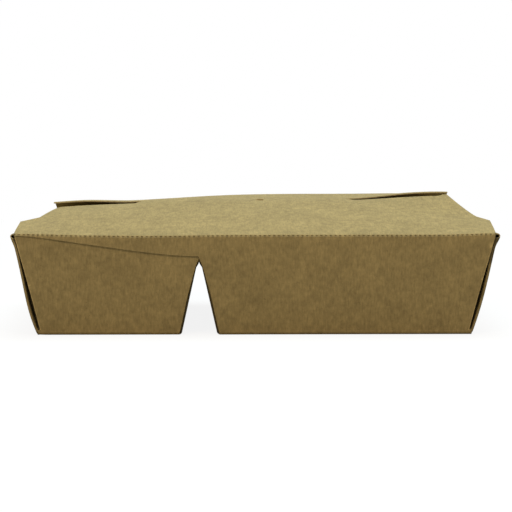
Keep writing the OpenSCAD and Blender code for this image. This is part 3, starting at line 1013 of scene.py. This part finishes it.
def add_divider(board):
    """The folded divider, whose outer faces line the open channel."""
    left_join, right_join = CHANNEL_LEFT - DIVIDER_TRIM, CHANNEL_RIGHT + DIVIDER_TRIM
    path = folded_path([(left_join, 0), (CHANNEL_LEFT, 0), (DIVIDER_X, DIVIDER_H),
                        (CHANNEL_RIGHT, 0), (right_join, 0)])
    parts, total = path
    left_start, ridge_start, ridge_end, right_end = (parts[i][0] for i in (2, 3, 4, 5))
    top = (DIVIDER_X, DIVIDER_H)
    left_corner = Corner(path, left_start, CHANNEL_LEFT, *top, THIRD_PLY, DIVIDER_GLUE_W)
    right_corner = Corner(path, left_start, 2 * DIVIDER_X - CHANNEL_RIGHT, *top, SECOND_PLY,
                          DIVIDER_GLUE_W)
    bare = place_wall(path, [(left_start, ridge_start, left_corner, None),
                             (ridge_end, right_end, right_corner, DIVIDER_X)], DIVIDER_GROOVE)

    def place(uv):
        points = bare(uv)
        off = points[:, 0] - DIVIDER_X
        near = 1 - rise(np.abs(off), *PINCH_END)
        points[:, 0] -= off * PINCH * rise(points[:, 2], *PINCH_AT) * near
        return waves(points)

    left_flap = flap_points(left_corner, FOLD_OUT, RIDGE_H - HIDDEN_TOP)
    right_flap = flap_points(right_corner, FOLD_OUT, RIDGE_H - HIDDEN_TOP)
    right_flap = [(u, total - v) for u, v in right_flap]
    flap_steps = (SHORT, WIDE, SHORT, SHORT)
    side = [(-JOIN_Y, 0, FINE), (-edge_y(FOOT_Z), left_start, SHORT)]
    side += [(u, v, step) for (u, v), step in zip(left_flap, flap_steps)]
    side += [(-edge_y(RIDGE_H), ridge_start, FINE), (-edge_y(RIDGE_H), ridge_end, SHORT)]
    side += [(u, v, step) for (u, v), step in zip(reversed(right_flap), flap_steps)]
    side += [(-edge_y(FOOT_Z), right_end, FINE), (-JOIN_Y, total, FLAT)]
    outline = both_sides(side)
    rows = fold_rows(path) + flat_rows(left_start, ridge_start) + flat_rows(ridge_end, right_end)
    flat = grid(-RIM_D / 2 - DIVIDER_SPARE, RIM_D / 2 + DIVIDER_SPARE, FLAT, rows)
    left_bends = corner_lines(left_corner, ridge_start - 1)
    right_bends = corner_lines(right_corner, ridge_start - 1)
    right_bends[:, 1] = total - right_bends[:, 1]
    fill = np.vstack([clear_of(flat, outline, END_GAP),
                      clear_of(np.vstack([left_bends, right_bends]), outline, BEND_GAP)])
    fold_marks = crease_marks(path)

    # Painted shade on the divider's fold beside the open channel
    def marks(uv):
        v = np.minimum(uv[:, 1], total - uv[:, 1])
        z = RIDGE_H * (v - left_start) / (ridge_start - left_start)
        past = np.abs(uv[:, 0]) - edge_y(z)
        shaded = rise(past, *CHANNEL_SHADE) * (z > 0)
        return fold_marks(uv) * (1 - shaded) - 2 * shaded

    board.panel(outline, fill, place, crease=marks,
                open_edge=lambda uv: (uv[:, 1] < NEAR) | (uv[:, 1] > total - NEAR))


# Back lid flap

def place_back(uv):
    """The back lid flap in place, with u along X and v from its crease."""
    x, s = uv[:, 0], uv[:, 1]
    return np.column_stack([x, HINGE_Y - s, back_flap_z(x, s)])


def add_back_flap(board):
    """The back lid flap, without its crease."""
    rows = [(-back_half(s, LEFT_EAR_IN), s, FLAT) for s in (0, SHOULDER, BACK_FLAP)]
    rows += [(back_half(s, RIGHT_EAR_IN), s, FLAT) for s in (BACK_FLAP, SHOULDER, 0)]
    outline = outline_of(rows)
    flat = grid(-CREASE_HALF, CREASE_HALF, FLAT, flat_rows(0, BACK_FLAP))
    board.panel(outline, clear_of(flat, outline, FLAT_GAP), place_back)


CUT_THINNER = 0.55


def crease_rod(board):
    """The rear crease, round about the hinge's axis, thinner at the cuts."""
    sides = 12
    stations = np.arange(-CREASE_HALF, CREASE_HALF, TOOTH / TOOTH_POINTS)
    radii = BOARD / 2 * (1 - CUT_THINNER * tooth_mask(stations))
    angle = 2 * np.pi * np.arange(sides) / sides
    ring = np.column_stack([np.zeros(sides), np.cos(angle), np.sin(angle)])
    points = np.vstack([radius * ring + [x, HINGE_Y, WALL_H] for x, radius in zip(stations, radii)])
    faces = []
    for here in range(0, len(points) - sides, sides):
        there = here + sides
        for i in range(sides):
            j = (i + 1) % sides
            faces += [(here + i, here + j, there + j), (here + i, there + j, there + i)]
    last = len(points) - sides
    for i in range(1, sides - 1):
        faces += [(0, i + 1, i), (last, last + i, last + i + 1)]
    board.points.append(points)
    board.faces.append(np.array(faces) + board.count)
    # Painted shade at the cuts, where the open slits are dark
    board.creases.append(-np.repeat(tooth_mask(stations), sides))
    board.edge_highlight.append(np.zeros(len(points)))
    board.count += len(points)


# Materials

def node(tree, kind, sockets=None, **values):
    """A new node with the values of its sockets and its properties."""
    made = tree.nodes.new(kind)
    for key, value in values.items():
        setattr(made, key, value)
    for key, value in (sockets or {}).items():
        made.inputs[key].default_value = value
    return made


def combined(tree, kind, *parts, **values):
    """The output of a new node that takes the parts in order."""
    made = node(tree, kind, **values)
    for part, socket in zip(parts, made.inputs):
        tree.links.new(part, socket)
    return made.outputs[0]


def ramp(tree, value, low, high, at_low, at_high, **values):
    """The value mapped from one range to another, and kept within it."""
    made = node(tree, "ShaderNodeMapRange", {
        "From Min": low, "From Max": high, "To Min": at_low, "To Max": at_high}, **values)
    tree.links.new(value, made.inputs["Value"])
    return made.outputs["Result"]


def kraft(name, tone, edge=False):
    """Unbleached board: cloudy pulp, fine fibres and dark flecks, rougher at a cut edge."""
    material = bpy.data.materials.new(name)
    material.use_nodes = True
    tree = material.node_tree
    link = tree.links.new
    shader = tree.nodes["Principled BSDF"]
    shader.inputs["Roughness"].default_value = 0.95 if edge else 0.78
    shader.inputs["Specular IOR Level"].default_value = 0.22
    place = node(tree, "ShaderNodeTexCoord")

    def noise(scale, detail, rough, stretch=(1, 1, 1)):
        mapping = node(tree, "ShaderNodeMapping", {"Scale": stretch})
        link(place.outputs["Object"], mapping.inputs["Vector"])
        made = node(tree, "ShaderNodeTexNoise", {"Scale": scale, "Detail": detail, "Roughness": rough})
        link(mapping.outputs["Vector"], made.inputs["Vector"])
        return made.outputs["Fac"]

    def mark(attribute):
        return node(tree, "ShaderNodeAttribute", attribute_name=attribute).outputs["Fac"]

    clouds = noise(scale=75, detail=3, rough=0.55)
    patches = noise(scale=330, detail=4, rough=0.65)
    fibres = noise(scale=1300, detail=2, rough=0.6, stretch=(1, 0.25, 0.25))
    flecks = noise(scale=1500, detail=1, rough=0.5, stretch=(0.5, 1, 1))
    crease = mark("crease")
    tones = [
        ramp(tree, clouds, 0.3, 0.7, 0.92, 1.08),
        ramp(tree, patches, 0.3, 0.7, 0.85, 1.15),
        ramp(tree, fibres, 0.3, 0.7, 0.86, 1.14),
        ramp(tree, flecks, 0.68, 0.76, 1.0, 0.82),
        # painted shade inside a gap and in a cut, paler beside a pressed fold, painted shade along the
        # fold, and a painted highlight beside a cut edge
        ramp(tree, crease, -2.0, -1.0, 0.55, 1.0),
        ramp(tree, crease, -1.0, 0.0, 0.42, 1.0),
        ramp(tree, crease, 0.0, 0.4, 1.0, 1.08),
        ramp(tree, crease, 0.4, 1.0, 1.0, 0.80),
        ramp(tree, mark("edge_highlight"), 0.0, 1.0, 1.0, 1.9),
    ]
    light = tones[0]
    for other in tones[1:]:
        light = combined(tree, "ShaderNodeMath", light, other, operation="MULTIPLY")
    colour = node(tree, "ShaderNodeMix", {"Factor": 1.0, "A": (*tone, 1)}, data_type="RGBA",
                  blend_type="MULTIPLY")
    link(light, colour.inputs["B"])
    link(colour.outputs["Result"], shader.inputs["Base Color"])

    bump = node(tree, "ShaderNodeBump", {"Strength": 0.8 if edge else 0.35, "Distance": 0.00012})
    link(noise(scale=1100, detail=3, rough=0.6, stretch=(0.6, 1, 1.2)), bump.inputs["Height"])
    link(bump.outputs["Normal"], shader.inputs["Normal"])
    return material


face_kraft = kraft("kraft_board_face", (0.42, 0.325, 0.142))
edge_kraft = kraft("kraft_board_cut_edge", (0.50, 0.40, 0.21), edge=True)

sheet = Board()
add_outer(sheet)
add_tucked(sheet)
add_end(sheet, depth=SECOND_PLY, bow_size=1.15, bow_power=1.4, flare=1.2, groove_size=3.4,
        groove_top=36, top_shade=0.7, mirror_x=False)
add_end(sheet, depth=THIRD_PLY, bow_size=1.35, bow_power=2.0, flare=0.7, groove_size=3.8,
        groove_top=39, top_shade=0.0, mirror_x=True)
add_divider(sheet)
crease_rod(sheet)
folded_sheet = sheet.build("folded_sheet", [face_kraft, edge_kraft])
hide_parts("tray")
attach(folded_sheet, "tray")

flap = Board()
add_back_flap(flap)
back_lid = flap.build("back_lid_flap", [face_kraft, edge_kraft])
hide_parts("back_flap")
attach(back_lid, "lid_flap")


# Stage, lights and camera

FLOOR_BOUNCE = (0.30, 0.27, 0.24, 1)
FLOOR_HALF = 6000.0
FADE_FROM, FADE_TO = 0.15, 0.8


def floor_material():
    """A pale stage: to the camera it is nearly white, with a shadow, and fully white far away."""
    material = bpy.data.materials.new("floor_white")
    material.use_nodes = True
    tree = material.node_tree
    tree.nodes.clear()
    link = tree.links.new
    place = node(tree, "ShaderNodeTexCoord")
    away = node(tree, "ShaderNodeVectorMath", operation="LENGTH")
    link(place.outputs["Object"], away.inputs[0])

    def fade(near, far):
        return ramp(tree, away.outputs["Value"], FADE_FROM, FADE_TO, near, far,
                    interpolation_type="SMOOTHSTEP")

    shade = node(tree, "ShaderNodeBsdfDiffuse")
    link(fade(0.17, 0.0), shade.inputs["Color"])
    glow = node(tree, "ShaderNodeEmission")
    link(fade(0.875, 1.0), glow.inputs["Strength"])
    seen = combined(tree, "ShaderNodeAddShader", shade.outputs["BSDF"], glow.outputs["Emission"])
    bounce = node(tree, "ShaderNodeBsdfDiffuse", {"Color": FLOOR_BOUNCE})
    path = node(tree, "ShaderNodeLightPath")
    mixed = combined(tree, "ShaderNodeMixShader", path.outputs["Is Camera Ray"],
                     bounce.outputs["BSDF"], seen)
    out = node(tree, "ShaderNodeOutputMaterial")
    link(mixed, out.inputs["Surface"])
    return material


def add_floor(half, material):
    """A floor with openings below each compartment's base, so that the base is seen from below."""
    side = BASE_W / 2 - FOLD_OUT
    depth = BASE_D / 2 - FOLD_OUT
    xs = [-half, -side, CHANNEL_LEFT - FOLD_OUT, CHANNEL_RIGHT + FOLD_OUT, side, half]
    ys = [-half, -depth, depth, half]
    points = [(x * MM, y * MM, 0) for y in ys for x in xs]
    cells = [(i, j) for j in range(3) for i in range(5) if (i, j) not in ((1, 1), (3, 1))]
    faces = [(j * 6 + i, j * 6 + i + 1, j * 6 + i + 7, j * 6 + i + 6) for i, j in cells]
    mesh = bpy.data.meshes.new("floor")
    mesh.from_pydata(points, [], faces)
    mesh.materials.append(material)
    obj = place_object("floor", mesh)


add_floor(FLOOR_HALF, floor_material())

world = bpy.data.worlds.new("studio")
bpy.context.scene.world = world
world.use_nodes = True
tree = world.node_tree
tree.nodes.clear()
path = node(tree, "ShaderNodeLightPath")
seen = combined(tree, "ShaderNodeMath", path.outputs["Is Camera Ray"], path.outputs["Is Glossy Ray"],
                operation="MAXIMUM")
dim = node(tree, "ShaderNodeBackground", {"Color": (1.0, 0.91, 0.80, 1), "Strength": 0.18})
white = node(tree, "ShaderNodeBackground", {"Color": (1, 1, 1, 1), "Strength": 1.0})
mixed = combined(tree, "ShaderNodeMixShader", seen, dim.outputs["Background"],
                 white.outputs["Background"])
out = node(tree, "ShaderNodeOutputWorld")
tree.links.new(mixed, out.inputs["Surface"])

AIM = Vector((0, 0, 0.03))
COOL = (0.78, 0.94, 1.0)
WARM = (1.0, 0.82, 0.61)


def softbox(name, place, size, power, colour):
    """A square lamp, in metres and watts, that faces the box."""
    data = bpy.data.lights.new(name, "AREA")
    data.shape = "SQUARE"
    data.size = size
    data.energy = power
    data.color = colour
    lamp = place_object(name, data)
    lamp.location = place
    lamp.rotation_euler = (AIM - Vector(place)).to_track_quat("-Z", "Y").to_euler()


softbox("top_light", (0.1, 0.15, 1.5), 1.2, 16.8, COOL)
softbox("left_light", (-0.42, -0.75, 0.62), 0.4, 2.5, WARM)
softbox("right_light", (0.44, -0.75, 0.62), 0.4, 1.6, WARM)

# Camera. In the photograph's frame of 512 pixels, the front crease lies at CREASE_PX_Y, and the
# middle of the box at BOX_PX_X.
FOCAL_PX = 1732.0
FRAME_PX = 512.0
SENSOR = 36.0
DISTANCE = 825 * MM
ELEVATION = math.radians(4.2)
CAMERA_X = -14 * MM
CREASE_PX_Y = 235.4
BOX_PX_X = 255.3
camera_data = bpy.data.cameras.new("camera")
camera_data.sensor_width = SENSOR
camera_data.lens = SENSOR * FOCAL_PX / FRAME_PX
camera = place_object("camera", camera_data)
crease = Vector((0, -RIM_D / 2 * MM, WALL_H * MM))
away = Vector((CAMERA_X, -DISTANCE * math.cos(ELEVATION), DISTANCE * math.sin(ELEVATION)))
camera.location = crease + away
pitch = ELEVATION + math.atan((FRAME_PX / 2 - CREASE_PX_Y) / FOCAL_PX)
yaw = math.atan(CAMERA_X / DISTANCE) + math.atan((BOX_PX_X - FRAME_PX / 2) / FOCAL_PX)
camera.rotation_euler = (math.pi / 2 - pitch, 0, yaw)
bpy.context.scene.camera = camera
bpy.context.scene.view_settings.view_transform = "Standard"
